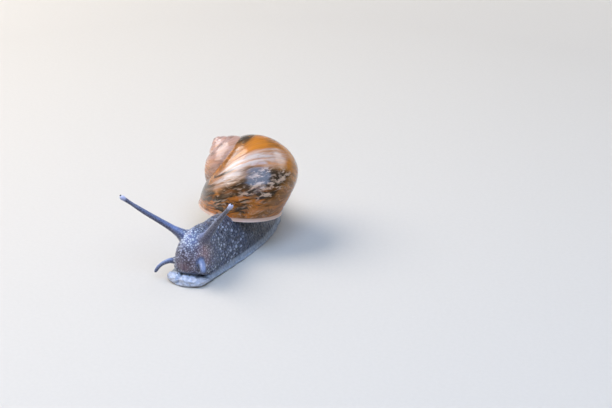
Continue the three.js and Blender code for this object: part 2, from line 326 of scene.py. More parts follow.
# %% The shell's place on the body
up = Vector((0, 0, 1))
apex_on_lip = (up - lip_facing * up.dot(lip_facing)).normalized()
across_lip = apex_on_lip.cross(lip_facing)
apex_way = Vector((-math.cos(SWING), math.sin(SWING), 0))
down = -up
to_body = Matrix((apex_way.cross(down), apex_way, down)).transposed()
from_lip = Matrix((across_lip, apex_on_lip, lip_facing))
settle = Matrix.Rotation(ROLL, 3, "Y") @ Matrix.Rotation(-PITCH, 3, "X")
turn_shell = np.array(settle @ to_body @ from_lip)
last_turn = np.concatenate([growth_line(g) for g in np.linspace(-1.2, 0, 18)]) @ turn_shell.T
low, high = last_turn.min(0), last_turn.max(0)
move_shell = SHELL_MIDDLE - np.array([(low[0] + high[0]) / 2, (low[1] + high[1]) / 2, high[2]])


def on_body(points):
    return points @ turn_shell.T + move_shell


print("lip faces", [round(v, 3) for v in turn_shell @ np.array(lip_facing)])

# %% The tube, extruded from the lip back to the apex
bpy.ops.object.select_all(action="DESELECT")
bpy.ops.mesh.primitive_circle_add(vertices=AROUND, radius=TUBE_RADIAL * MM, fill_type="NOTHING")
shell = bpy.context.object
shell.name = "snail_shell"
shell.data.name = "snail_shell"
lay(shell.data, growth_line(0, sink=False))
keep(shell.data, "lane", np.arange(AROUND))

FINE, COARSE, FINE_COUNT = 1 / 144, 1 / 44, 160  # steps in turns
steps = [FINE] * FINE_COUNT + [COARSE] * round((TURNS - FINE_COUNT * FINE) / COARSE)
growths = np.concatenate([[0], -np.cumsum(steps)])
edit(shell)
for size in steps:
    bpy.ops.mesh.extrude_edges_move()
    bpy.ops.transform.rotate(value=-2 * math.pi * size, orient_axis="Z", center_override=(0,) * 3)
    shrink = RATIO**-size
    bpy.ops.transform.resize(value=(shrink,) * 3, center_override=(0, 0, 0))
done()
lane = kept(shell.data, "lane").round().astype(int)
row = np.arange(len(lane)) // AROUND
expected = spiral_point(growths[row] + LEANS[lane], SECTIONS[lane], sink=False)
print("rings:", len(growths), "worst error in mm:", np.abs(places(shell.data) - expected).max())

# %% [markdown]
# ### Sink, apex and lip
# The last stretch of a grown shell drops below the spiral, so the rings sink by how near the
# lip they are. The apex is closed to a point. At the lip the edge rolls outward a little, turns
# over, and runs back inside as a smooth wall that is closed behind the animal.


# %% Rings laid one by one
def pick_points(first, end):
    """Selects the shell's points from one number up to another, in edit mode."""
    work = bmesh.from_edit_mesh(shell.data)
    work.verts.ensure_lookup_table()
    for vert in work.verts:
        vert.select = first <= vert.index < end
    work.select_flush(True)


def next_ring(points):
    """Extrudes the selected ring and lays the new one on these points, lane by lane."""
    bpy.ops.mesh.extrude_edges_move()
    work = bmesh.from_edit_mesh(shell.data)
    lane_layer = work.verts.layers.float["lane"]
    for vert in work.verts:
        if vert.select:
            vert.co = Vector(points[round(vert[lane_layer])]) * MM
    bmesh.update_edit_mesh(shell.data)


# %% Sink and place
growth = growths[row] + LEANS[lane]
points = places(shell.data)
points[:, 2] -= last_sink(growth)
lay(shell.data, on_body(points))
keep(shell.data, "turn", growths[row])
keep(shell.data, "girth", SECTIONS[lane] / (2 * math.pi))

# %% The apex
APEX_AHEAD = 0.06  # turns beyond the last ring
APEX_RINGS = [(0.72, 0.7), (0.38, 1.05)]  # width left, and share of the way ahead
only(shell)
bpy.ops.object.mode_set(mode="EDIT")
bpy.context.tool_settings.mesh_select_mode = (True, False, False)
pick_points(len(lane) - AROUND, len(lane))
apex_ring = on_body(growth_line(-TURNS))
apex_middle = apex_ring.mean(0)
ahead = on_body(growth_line(-TURNS - APEX_AHEAD)).mean(0) - apex_middle
for share, rise in APEX_RINGS:
    next_ring(apex_middle + (apex_ring - apex_middle) * share + ahead * rise)
bpy.ops.mesh.merge(type="CENTER")

# %% The lip and the wall behind it
LIP_ROLL = [  # how far inside the tube's face, and how far forward
    (-0.26, 0.14), (-0.36, 0.34), (-0.20, 0.52), (0.15, 0.56), (0.55, 0.42), (0.82, 0.12),
]
WALL_RINGS = (-0.006, -0.014, -0.026, -0.045, -0.07, -0.1)  # in turns
pick_points(0, AROUND)
out_of_mouth = turn_shell @ np.array(lip_facing)
for inset, forward in LIP_ROLL:
    next_ring(on_body(growth_line(0, inset)) + out_of_mouth * forward)
for growth_in in WALL_RINGS:
    next_ring(on_body(growth_line(growth_in, WALL)))
bpy.ops.mesh.merge(type="CENTER")
done()

# Tube, apex and the lip's first ring come first, and all later points are inside.
mesh = shell.data
inner = np.arange(len(mesh.vertices)) > (len(growths) + 2) * AROUND
keep(mesh, "inside", inner)
keep(mesh, "turn", np.where(inner, 0, kept(mesh, "turn")))
facing_out(shell)
apply(shell, "SUBSURF", levels=1, render_levels=1)
bpy.ops.object.shade_smooth()
report(mesh)

# %% [markdown]
# ### Relief on the shell
# A garden snail's shell isn't polished: it carries growth lines, each a halt in building, and a
# net of shallow dents, as if it had been hammered. Both are real shape here, up to a tenth of a
# millimetre deep, so that the highlight breaks up over them. Both shrink with the whorls.

# %% Noise over many points
def rough(x, y, z, seed):
    """Smooth noise from -1 to 1 at many points, with steps of about 1."""
    shift = 17.3 * seed
    return np.array([noise.noise(Vector(p)) for p in np.stack([x + shift, y - shift, z], -1)])


# %% Growth lines and dents
MM_PER_TURN, MM_ROUND_TUBE = 118, 74  # round the last whorl's outer face, and round the tube
HALTS_AT, HALT_DEPTH, HALT_WIDTH = (-0.028, -0.272, -0.61), 0.10, 0.5
turn, girth, inside = (kept(mesh, name) for name in ("turn", "girth", "inside"))
u, v = turn * MM_PER_TURN, girth * MM_ROUND_TUBE


def on_whorl(height, along_tube, round_tube, seed):
    """Relief of this height, with a step along the tube and one round it."""
    return height * rough(u / along_tube, v / round_tube, 0 * u, seed)


lines = on_whorl(0.055, 1.5, 40, seed=1) + on_whorl(0.07, 4.5, 60, seed=2)
dents = on_whorl(0.06, 1.7, 2.4, seed=3) + on_whorl(0.03, 0.9, 1.3, seed=4)
halts = sum(HALT_DEPTH * hump((turn - at) * MM_PER_TURN, HALT_WIDTH) for at in HALTS_AT)
relief = (lines + dents - halts) * RATIO**turn * (1 - smooth(inside, 0, 0.5))
lay(mesh, places(mesh) + outward(mesh) * relief[:, None])
print("relief in mm:", relief.min().round(3), relief.max().round(3))

# %% [markdown]
# ## Materials
# One function adds a node. A pattern that follows the whorls reads the two numbers that the
# spiral left on the mesh: turn, along the tube, and girth, round it.


# %% Nodes and colours
def linear(code):
    """The linear colour of an sRGB hex value."""
    parts = [int(code[i : i + 2], 16) / 255 for i in (1, 3, 5)]
    return [p / 12.92 if p <= 0.04045 else ((p + 0.055) / 1.055) ** 2.4 for p in parts] + [1]


def plug(socket, value):
    """Gives a socket a value, a hex colour or another node's output."""
    if isinstance(value, bpy.types.NodeSocket):
        tree.links.new(value, socket)
    else:
        socket.default_value = linear(value) if isinstance(value, str) else value


OFTEN = {  # the kind of node, its output, its inputs in turn and its settings
    "Times": ("Math", 0, (0, 1), {"operation": "MULTIPLY"}),
    "Plus": ("Math", 0, (0, 1), {"operation": "ADD"}),
    "Larger": ("Math", 0, (0, 1), {"operation": "MAXIMUM"}),
    "Scaled": ("Math", 0, (0, 1, 2), {"operation": "MULTIPLY_ADD"}),
    "Colours": ("Mix", 2, (0, 6, 7), {"data_type": "RGBA"}),  # share, colour at 0, colour at 1
}


def add(kind, inputs=(), out=0, stops=None, **settings):
    """Adds a node to the tree in hand, with its inputs and settings, and gives one of its
    outputs. Stops are a ramp's places and colours."""
    kind, out, order, usual = OFTEN.get(kind, (kind, out, range(len(inputs)), {}))
    node = tree.nodes.new("ShaderNode" + kind)
    for name, value in (usual | settings).items():
        setattr(node, name, value)
    for name, value in inputs.items() if isinstance(inputs, dict) else zip(order, inputs):
        plug(node.inputs[name], value)
    if stops:
        elements = node.color_ramp.elements
        while len(elements) < len(stops):
            elements.new(0.5)
        for element, (place, value) in zip(elements, stops):
            element.position = place
            element.color = linear(value) if isinstance(value, str) else (value,) * 3 + (1,)
    return node.outputs[out]


def start_material(name):
    """A new material, its node tree and its shader."""
    material = bpy.data.materials.new(name)
    material.use_nodes = True
    return material, material.node_tree, material.node_tree.nodes["Principled BSDF"]


def finish_material(piece, material, shader, inputs):
    """Sets or links the shader's inputs and gives the material to the piece."""
    for name, value in inputs.items():
        plug(shader.inputs[name], value)
    piece.data.materials.clear()
    piece.data.materials.append(material)


# %% [markdown]
# ### Shell material: conchiolin over lime, laid down in growth lines
# The shell is chalk under a thin horny skin, which gives it a wet-looking gloss over deep brown.
# The ground is caramel to gold. Dark bands follow the whorl, and in the last quarter turn they
# break up into zigzags and spots with cream and orange flecks between them. A band of cream
# crosses the top, with gold behind it: partly the shell's pale ground and partly a painted
# reflection of bright sky on the gloss. The lip is bare pale lime, less than a millimetre wide,
# and the oldest whorls are rubbed pinkish.

# %% Along and round the whorl
shell_material, tree, shader = start_material("horny_shell_skin_over_lime")
turn_at, girth_at, inside_at = (
    add("Attribute", attribute_name=name, out=2) for name in ("turn", "girth", "inside")
)
u_mm = add("Times", [turn_at, MM_PER_TURN])
v_mm = add("Times", [girth_at, MM_ROUND_TUBE])
flow = add("CombineXYZ", [u_mm, v_mm, 0.0])

# Marks lean and zigzag: the place along the tube swings by a millimetre as it goes round.
swing_way = add("Math", [add("Plus", [v_mm, 40.0]), 2.6], operation="PINGPONG")
zig_u = add("Scaled", [swing_way, 0.7, u_mm])
zig_flow = add("CombineXYZ", [zig_u, v_mm, 0.0])


# %% Noises on the whorl
# Each has a step along the tube and one round it, in millimetres.
NOISES = {
    "cloud": (flow, 7.0, 7.0, 3.0, 0.5, 0.0),
    "wander": (flow, 5.0, 4.0, 3.0, 0.5, 0.0),
    "drift": (flow, 8.0, 9.0, 3.0, 0.5, 0.0),
    "marbling": (zig_flow, 1.9, 4.2, 5.0, 0.62, 0.5),
    "spots": (flow, 1.6, 1.7, 2.5, 0.50, 0.3),
    "flecks": (zig_flow, 1.0, 1.5, 2.5, 0.5, 0.2),
    "sparks": (flow, 2.0, 3.4, 4.0, 0.6, 0.4),
    "streaks": (flow, 0.6, 16.0, 3.0, 0.65, 0.0),
    "lines": (flow, 0.28, 14.0, 3.0, 0.6, 0.0),
    "wrinkles": (flow, 0.8, 1.1, 3.0, 0.55, 0.0),
    "wear": (flow, 6.0, 6.0, 4.0, 0.6, 0.0),
    "smear": (flow, 3.0, 5.0, 4.0, 0.6, 0.4),
}
APART = 3.1  # so that no two noises read the same place
noises = {}
for number, (name, settings) in enumerate(NOISES.items()):
    path, across, around, detail, roughness, distortion = settings
    placed = add("Mapping", {
        "Vector": path, "Location": (APART * number,) * 3, "Scale": (1 / across, 1 / around, 1),
    })
    noises[name] = add("TexNoise", {
        "Vector": placed, "Scale": 1.0, "Detail": detail, "Roughness": roughness,
        "Distortion": distortion,
    })

# %% Zones
# Bands lie side by side round the tube, zones follow along it, and all their edges wander.
wander = add("Scaled", [noises["wander"], 0.075, 0.4845])
band_at = add("Plus", [girth_at, wander])
drift = add("Scaled", [noises["drift"], 0.16, 0.92])
zone_at = add("Scaled", [turn_at, 2.0, drift])
edge_at = add("Scaled", [turn_at, 0.694, band_at])
patch_at = add("Scaled", [turn_at, 1.39, band_at])
RAMPS = {
    "bands": (band_at, [
        (0.15, 0), (0.19, 1), (0.25, 1), (0.28, 0.1), (0.31, 0.9), (0.37, 0.9), (0.41, 0.1),
        (0.475, 0), (0.49, 0.6), (0.53, 0.7), (0.555, 0.05), (0.60, 0), (0.63, 1), (0.75, 1),
        (0.80, 0),
    ]),
    "flank": (band_at, [
        (0.28, 0), (0.35, 0.4), (0.40, 1), (0.54, 1), (0.57, 0.35), (0.62, 0.3), (0.66, 0),
    ]),
    "spotted": (band_at, [(0.35, 0), (0.39, 1), (0.53, 0.9), (0.555, 0)]),
    "spot_room": (band_at, [(0.35, 0), (0.39, 1), (0.485, 1), (0.515, 0.1)]),
    "spotted_part": (zone_at, [(0.62, 0), (0.67, 1), (0.83, 1), (0.88, 0)]),
    "upper_edge": (edge_at, [(0.496, 0), (0.512, 1), (0.57, 1), (0.62, 0.3)]),
    "edge_part": (zone_at, [(0.60, 0), (0.66, 1), (0.89, 1), (0.93, 0)]),
    "patch": (patch_at, [(0.290, 0), (0.305, 1), (0.330, 1), (0.345, 0)]),
    "patch_part": (zone_at, [(0.50, 0), (0.54, 0.9), (0.62, 0.9), (0.66, 0)]),
    "gold": (zone_at, [(0.08, 0), (0.18, 1), (0.60, 1), (0.70, 0)]),
    "cream": (zone_at, [(0.42, 0), (0.49, 1), (0.61, 1), (0.67, 0)]),
    "cream_round": (band_at, [(0.42, 0), (0.50, 1), (0.61, 1), (0.65, 0)]),
    "cream_low": (zone_at, [(0.56, 0), (0.62, 0.9), (0.72, 0.9), (0.80, 0)]),
    "cream_side": (band_at, [(0.515, 0), (0.55, 1), (0.60, 1), (0.63, 0)]),
    "mottled": (zone_at, [(0.60, 0), (0.68, 1), (0.96, 1), (0.99, 0.4)]),
    "amber": (zone_at, [(0.76, 0), (0.86, 1), (1.0, 1)]),
    "marbling": (noises["marbling"], [(0.41, 0), (0.51, 1)]),
    "spots": (noises["spots"], [(0.53, 0), (0.61, 1)]),
    "flecks": (noises["flecks"], [(0.54, 0), (0.64, 1)]),
    "sparks": (noises["sparks"], [(0.50, 0), (0.66, 1)]),
    "smear": (noises["smear"], [(0.34, 0.1), (0.56, 1)]),
    "cloud": (noises["cloud"], [(0.35, 0), (0.65, 1)]),
    "old": (add("Scaled", [turn_at, 0.25, 1.0]), [(0.55, 1), (0.72, 0.8), (0.80, 0)]),
    "wear": (noises["wear"], [(0.30, 0.35), (0.6, 1)]),
    "lip": (add("Scaled", [turn_at, 50.0, 1.0]), [(0.62, 0), (0.78, 1)]),
}
share = {name: add("ValToRGB", [at], stops=stops) for name, (at, stops) in RAMPS.items()}
OVERLAPS = {  # where two of them meet
    "cream_reflection_top": ("cream", "cream_round"),
    "cream_reflection_below": ("cream_low", "cream_side"),
    "broken": ("flank", "marbling"),
    "dark_spots": ("spotted", "spotted_part"),
    "edge_band": ("upper_edge", "edge_part"),
    "dark_patch": ("patch", "patch_part"),
    "fleck_room": ("mottled", "flank"),
    "orange": ("amber", "sparks"),
    "worn": ("old", "wear"),
}
for name, (first, second) in OVERLAPS.items():
    share[name] = add("Times", [share[first], share[second]])

# %% Ground colours
# The cream is partly the shell's pale ground and partly a painted reflection of bright sky on the
# gloss.
cream_and_reflection = add("Larger", [share["cream_reflection_top"], share["cream_reflection_below"]])
cream_and_reflection = add("Times", [cream_and_reflection, share["smear"]])
colour = add("Colours", [share["cloud"], "#A66120", "#D68C34"])
for part, paint in (
    (share["gold"], "#D98428"), (share["amber"], "#B8712A"), (cream_and_reflection, "#DECABE"),
):
    colour = add("Colours", [part, colour, paint])

# %% Dark bands, zigzags and spots
dark = add("Colours", [noises["spots"], "#15100D", "#584022"])
darkness = share["bands"]
for name, slope, base in (("marbling", 0.55, 0.45), ("gold", -0.45, 1.0), ("mottled", -0.3, 1.0)):
    darkness = add("Times", [darkness, add("Scaled", [share[name], slope, base])])
broken = add("Times", [share["broken"], share["mottled"]])
for marks in (broken, share["dark_spots"], share["edge_band"]):
    darkness = add("Larger", [darkness, marks])
darkness = add("Times", [darkness, add("Scaled", [cream_and_reflection, -0.85, 1.0])])
darkness = add("Larger", [darkness, share["dark_patch"]])
colour = add("Colours", [darkness, colour, dark])

# %% Cream and orange flecks
pale_spots = add("Times", [share["dark_spots"], share["spot_room"]])
pale_spots = add("Times", [pale_spots, share["spots"]])
flecks = add("Scaled", [share["fleck_room"], 0.4, 0.05])
flecks = add("Times", [flecks, share["flecks"]])
pale_marks = add("Larger", [flecks, pale_spots])
orange_marks = add("Times", [share["orange"], share["flank"]])
for part, paint in ((pale_marks, "#D9B597"), (orange_marks, "#CE7426")):
    colour = add("Colours", [part, colour, paint])
streaked = add("ValToRGB", [noises["streaks"]], stops=[
    (0.3, "#86786A"), (0.5, "#C4C0BA"), (0.7, "#FFF4E4"),
])
colour = add("Colours", [0.4, colour, streaked], blend_type="MULTIPLY")

# %% The rubbed spire, the pale lip and the wall inside
for part, paint in (
    (share["worn"], "#C69F90"), (share["lip"], "#C4A08A"), (inside_at, "#DAC3B5"),
):
    colour = add("Colours", [part, colour, paint])

# %% Gloss and fine lines
# The horny skin shines where it is whole and is duller where it has rubbed away.
dull = add("Scaled", [noises["spots"], 0.14, 0.17])
dull = add("Scaled", [share["worn"], 0.08, dull])
height = add("Times", [noises["wrinkles"], 0.7])
height = add("Scaled", [noises["lines"], 0.5, height])
bump = add("Bump", {"Height": height, "Strength": 0.4, "Distance": 0.00006})
finish_material(shell, shell_material, shader, {
    "Base Color": colour, "Roughness": dull, "Normal": bump, "IOR": 1.50,
    "Coat Weight": 0.35, "Coat Roughness": 0.10, "Coat IOR": 1.5,
    "Subsurface Weight": 0.05, "Subsurface Radius": (0.0009, 0.0005, 0.0003),
    "Subsurface Scale": 1.0,
})
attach(shell, "root")
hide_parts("shell")
print("shell material nodes:", len(tree.nodes))

# %% [markdown]
# ## The body under the skin
# A crawling snail is one bag of muscle: a flat foot with a thin skirt, a rounded back, a blunt
# head, two long and two short feelers, and a collar of mantle that fills the shell's mouth. Each
# of these is first made as a smooth closed form from the same sizes as the solids, then all are
# fused to one skin. Lofting from sections keeps every outline true, as sculpting wouldn't.

# %% A closed form through sections
def loft(name, rings):
    """A uv sphere whose rows are laid on these rings, and its poles on their middles."""
    rings = np.asarray(rings, float)
    rows, around = rings.shape[:2]
    bpy.ops.object.select_all(action="DESELECT")
    bpy.ops.mesh.primitive_uv_sphere_add(segments=around, ring_count=rows + 1, radius=MM)
    piece = bpy.context.object
    piece.name = name
    unit = places(piece.data)
    row = np.rint(np.arccos(np.clip(unit[:, 2], -1, 1)) / (math.pi / (rows + 1))).astype(int)
    column = np.rint(np.arctan2(unit[:, 1], unit[:, 0]) / (2 * math.pi / around)).astype(int)
    laid = rings[np.clip(row - 1, 0, rows - 1), column % around]
    laid[row == 0], laid[row == rows + 1] = rings[0].mean(0), rings[-1].mean(0)
    lay(piece.data, laid)
    facing_out(piece)
    return piece


def stations(low, high, count):
    """Stations from one end to the other, closer together near both ends."""
    share = (1 - np.cos(math.pi * (np.arange(count) + 0.35) / (count - 0.3))) / 2
    return mix(low, high, share)


# %% Sizes along the body
FOOT_FRONT, TORSO_FRONT, TAIL_TIP, TORSO_BASE = -43, -41, 34, 1.75
FOOT_RINGS, TORSO_RINGS, RING_POINTS = 110, 120, 72
foot_half_width = along(
    (-43, 5.8), (-35, 6.5), (-26, 7.5), (-12, 8.9), (2, 9.2), (14, 7.6), (24, 4.6), (34, 1.6)
)
midline = along(
    (-43, 0.5), (-34, 0.5), (-22, 0.3), (-10, -0.1), (0, -1.0), (10, -2.7), (22, -5.8),
    (34, -9.6),
)
plate_height = along((-43, 2.2), (-41.5, 2.5), (-39.5, 2.4), (-36, 1.7), (34, 1.7))
back_height = along(
    (-41, 7.6), (-40.4, 9.8), (-39, 12.0), (-36.8, 14.2), (-34, 14.9), (-30, 14.4), (-24, 13.6),
    (-14, 12.2), (0, 11.4), (10, 9.4), (17, 7.2), (24, 4.9), (30, 3.2), (34, 2.1),
)
chin_height = along(
    (-41, 5.9), (-40.4, 4.8), (-39, 3.8), (-37, 2.8), (-35.5, TORSO_BASE), (34, TORSO_BASE)
)
body_half_width = along(
    (-41, 1.4), (-40.4, 3.2), (-39, 4.5), (-36, 5.2), (-32, 5.4), (-24, 6.0), (-14, 7.2),
    (0, 7.7), (10, 6.7), (17, 5.2), (25, 3.1), (34, 0.8),
)
flank_spread = along((-41, 0), (-38, 0), (-34, 0.8), (-30, 1), (34, 1))


def round_end(distance, radius):
    """0 at an end and 1 from a radius inwards, along a quarter of a circle."""
    share = np.clip(distance / radius, 0, 1)
    return np.sqrt(1 - (1 - share) ** 2)


def foot_width_at(station):
    ends = round_end(station - FOOT_FRONT, 3.2) * round_end(TAIL_TIP - station, 3)
    return np.maximum(0.9, foot_half_width(station) * ends)


# %% Foot
def ring_angles(count):
    return 2 * math.pi * np.arange(count) / count


def foot_ring(station):
    """A flat sole, steep sides and an edge that is tucked in above."""
    half = foot_width_at(station)
    rounding = min(1, half / 1.8)
    turn = ring_angles(RING_POINTS)
    across, rise = np.cos(turn), np.sin(turn)
    tuck = 0.75 * rounding * np.abs(rise) ** 1.8
    aside = np.abs(across)
    x = np.sign(across) * aside**0.8 * half - np.sign(across) * tuck * aside**0.4
    z = plate_height(station) / 2 * (1 + np.sign(rise) * np.abs(rise) ** 0.55)
    return np.stack([midline(station) + x, 0 * x + station, z], -1)


foot = loft("foot_form", [foot_ring(s) for s in stations(FOOT_FRONT, TAIL_TIP, FOOT_RINGS)])

# %% Back, neck and head
def torso_ring(station):
    """A rounded back that spreads into the foot, over a flat base or a chin."""
    half, top = body_half_width(station), back_height(station)
    plate = plate_height(station) + 0.05
    base = max(plate, chin_height(station))
    skirt = max(0, foot_width_at(station) - 0.75 - half)
    turn = ring_angles(RING_POINTS)
    rise = np.sin(turn)
    lift = np.maximum(0, rise)
    across = (half + skirt * flank_spread(station) * (1 - lift) ** 2.5) * np.cos(turn)
    over = base + (top - base) * lift**0.85
    under = base + ((base - plate) * 0.5 + 0.5) * np.minimum(0, rise)
    z = np.where(rise >= 0, over, under)
    return np.stack([midline(station) + across, 0 * across + station, z], -1)


torso_stations = stations(TORSO_FRONT, TAIL_TIP - 0.6, TORSO_RINGS)
torso = loft("torso_form", [torso_ring(s) for s in torso_stations])

# %% Feelers
def curve_through(points, count=160):
    """A smooth line through the points, at even steps, with its direction at each."""
    p = np.array(points, float)
    p = np.vstack([2 * p[0] - p[1], p, 2 * p[-1] - p[-2]])
    line = []
    t = np.linspace(0, 1, 200)[:, None]
    for p0, p1, p2, p3 in zip(p, p[1:], p[2:], p[3:]):
        a, b, c = (np.linalg.norm(step) ** 0.5 for step in (p1 - p0, p2 - p1, p3 - p2))
        leave = ((p1 - p0) / a - (p2 - p0) / (a + b) + (p2 - p1) / b) * b
        reach = ((p2 - p1) / b - (p3 - p1) / (b + c) + (p3 - p2) / c) * b
        line.append(
            (2 * t**3 - 3 * t**2 + 1) * p1 + (t**3 - 2 * t**2 + t) * leave
            + (3 * t**2 - 2 * t**3) * p2 + (t**3 - t**2) * reach
        )
    line = np.vstack(line)
    length = np.concatenate([[0], np.cumsum(np.linalg.norm(np.diff(line, axis=0), axis=1))])
    even = np.linspace(0, length[-1], count)
    line = np.stack([np.interp(even, length, line[:, k]) for k in range(3)], -1)
    heading = np.gradient(line, axis=0)
    return line, heading / np.linalg.norm(heading, axis=1)[:, None]


STALK_POINTS = 28
STALK_TIP = ((0.86, 0.58), (0.925, 0.64), (0.965, 0.74), (0.985, 0.56), (1, 0.12))
FEELERS = {  # the points a feeler runs through, and its radius from root to tip
    ("upper", "right"): (
        [(-2.2, -35.2, 12.2), (-7.2, -37.4, 15.9), (-13.4, -39.7, 19.9), (-20.0, -41.5, 24.1)],
        along((0, 2.3), (0.07, 1.7), (0.16, 1.2), (0.35, 0.92), (0.6, 0.77), *STALK_TIP),
    ),
    ("lower", "right"): (
        [(-3.0, -38.4, 5.8), (-5.4, -39.9, 5.7), (-7.6, -41.1, 4.3), (-9.0, -41.9, 2.1)],
        along((0, 1.25), (0.3, 0.8), (0.6, 0.6), (0.88, 0.55), (0.96, 0.42), (1, 0.1)),
    ),
    ("upper", "left"): (
        [(3.4, -35.2, 11.9), (7.3, -37.5, 16.5), (12.0, -39.9, 22.5), (17.0, -41.6, 28.6)],
        along((0, 2.4), (0.07, 1.9), (0.16, 1.45), (0.35, 1.12), (0.6, 0.86), *STALK_TIP),
    ),
    ("lower", "left"): (
        [(3.4, -37.4, 6.2), (5.5, -39.4, 6.7), (6.7, -40.9, 6.1), (7.3, -42.0, 4.9)],
        along((0, 1.5), (0.3, 1.15), (0.6, 1.0), (0.88, 0.85), (0.96, 0.62), (1, 0.12)),
    ),
}


def stalk(name, points, radius):
    """A round stalk along a smooth line, and the line."""
    line, heading = curve_through(points)
    share = np.linspace(0, 1, len(line))
    side = np.cross((0, 0, 1), heading)
    side /= np.linalg.norm(side, axis=1)[:, None]
    over = np.cross(heading, side)
    turn = ring_angles(STALK_POINTS)
    rings = line[:, None] + radius(share)[:, None, None] * (
        side[:, None] * np.cos(turn)[None, :, None] + over[:, None] * np.sin(turn)[None, :, None]
    )
    return loft(name, rings), line


stalks, routes = [], {}
for (kind, side_name), (points, radius) in FEELERS.items():
    form, routes[kind, side_name] = stalk(f"{kind}_{side_name}_form", points, radius)
    stalks.append(form)

# %% The collar in the shell's mouth
BULGE = ((0.97, 0.35), (0.9, 0.6), (0.75, 0.75), (0.4, 0.8))  # width left, and how far out
rings = [growth_line(g, WALL * 1.02) for g in np.linspace(-0.14, -0.004, 12)]
rings = [on_body(ring) - BODY_SHIFT for ring in rings]
edge_ring = rings[-1]
edge_middle = edge_ring.mean(0)
for narrow, bulge in BULGE:
    rings.append(edge_middle + (edge_ring - edge_middle) * narrow + out_of_mouth * bulge)
collar = loft("collar_form", rings)

# %% [markdown]
# ### One skin
# The back is first cut to leave room for the shell. Then all forms are joined and remeshed on a
# fine grid, which fuses them: where a stalk meets the head there is no seam to hide.

# %% Room for the shell
bpy.ops.object.select_all(action="DESELECT")
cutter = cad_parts["shell"].copy()
cutter.data = cutter.data.copy()
cutter.parent = None
cutter.hide_viewport = cutter.hide_render = False
cutter.name = "shell_room"
bpy.context.scene.collection.objects.link(cutter)
edit(cutter)
bpy.ops.mesh.remove_doubles(threshold=0.00001)
bpy.ops.transform.translate(value=tuple(-BODY_SHIFT * MM))
done()
apply(torso, "BOOLEAN", object=cutter, operation="DIFFERENCE", solver="EXACT")
bpy.data.objects.remove(cutter)

# %% Fusing the forms
VOXEL = 0.2
only(torso)
for form in (foot, collar, *stalks):
    form.select_set(True)
bpy.ops.object.join()
skin = torso
skin.name = "snail_skin"
skin.data.name = "snail_skin"
apply(skin, "REMESH", mode="VOXEL", voxel_size=VOXEL * MM, adaptivity=0)
apply(skin, "SMOOTH", factor=0.5, iterations=3)
mesh = skin.data
report(mesh)

# %% [markdown]
# ### Regions of the skin
# The skin changes from place to place: even and stretched on the feelers, beaded on the head
# and neck, flatter and darker towards the tail, and thin and pale at the skirt. Each region is
# a soft-edged number on every point, found from where the point lies, and both the relief and
# the colours read it.

# %% Which points are on a feeler
here = places(mesh)
x, y, z = here.T
normal = outward(mesh)
side = x - midline(y)
aside = np.abs(side) / foot_width_at(np.clip(y, -42.5, 33.5))
stalk_share, stalk_mask, lower_mask = np.zeros((3, len(x)))
in_front = np.flatnonzero(y < -32)
front_points = here[in_front]
for (kind, side_name), line in routes.items():
    radius = FEELERS[kind, side_name][1]
    away = np.linalg.norm(front_points[:, None] - line[None, ::2], axis=2)
    nearest = away.argmin(1)
    share_here = np.linspace(0, 1, len(line))[::2][nearest]
    near = away[np.arange(len(away)), nearest] / np.maximum(radius(share_here), 0.4)
    start, full = (0.03, 0.20) if kind == "upper" else (0.10, 0.32)
    mask = smooth(share_here, start, full) * (1 - smooth(near, 1.35, 2.0))
    before = stalk_mask[in_front]
    stalk_share[in_front] = np.where(mask > before, share_here, stalk_share[in_front])
    stalk_mask[in_front] = np.maximum(mask, before)
    if kind == "lower":
        lower_mask[in_front] = np.maximum(mask, lower_mask[in_front])
print("points on feelers:", int((stalk_mask > 0.5).sum()))

# %% Sole, skirt, face and what the shell covers
sole = 1 - smooth(z, 0.03, 0.25)
fringe = (1 - smooth(z, 1.5, 2.3)) * (1 - stalk_mask) * smooth(aside, 0.55, 0.8)
front = smooth(-y, 37.0, 39.5) * (1 - smooth(z, plate_height(y) + 0.1, plate_height(y) + 0.7))
front *= 1 - stalk_mask
fringe = np.maximum(fringe, front) * (1 - sole)
lip_height = (here + BODY_SHIFT - on_body(growth_line(0)).mean(0)) @ out_of_mouth
under_shell = smooth(-lip_height, -2.2, -0.2) * (z > 7) * smooth(y, -20, -13)
bare = (1 - stalk_mask) * (1 - sole) * (1 - fringe)


def around_spot(across, station, height, reach, thick, tall):
    """A soft blob of skin round a place on the head, mirrored from side to side."""
    spread = ((np.abs(side) - across) / reach) ** 2 + ((y - station) / thick) ** 2
    return np.exp(-spread - ((z - height) / tall) ** 2)


cheek = around_spot(3.6, -36.4, 8.4, 2.8, 3.4, 3.4) * mix(0.4, 1, side > 0)
face = around_spot(0, -40.4, 7.6, 2.8, 2.4, 3.0)
mouth = around_spot(0, -40.7, 5.3, 2.3, 2.2, 1.5) * (1 - front)
# On top of the head the beads are painted near white and the grooves blue: partly the skin's own
# tone, partly painted sheen.
crown_sheen = around_spot(0, -37.0, 12.8, 3.4, 3.6, 2.6)
print("points on the skirt:", int((fringe > 0.5).sum()))

# %% [markdown]
# ### Tubercles
# A snail's skin is set with small round beads with grooves between them, where the slime runs. A
# cell pattern gives both: the distance to the second nearest centre less that to the nearest is
# nought along a groove and large on a bead. The beads are about two thirds of a millimetre wide
# on the head and just over one on the flanks, where they are flatter and drawn out lengthwise.

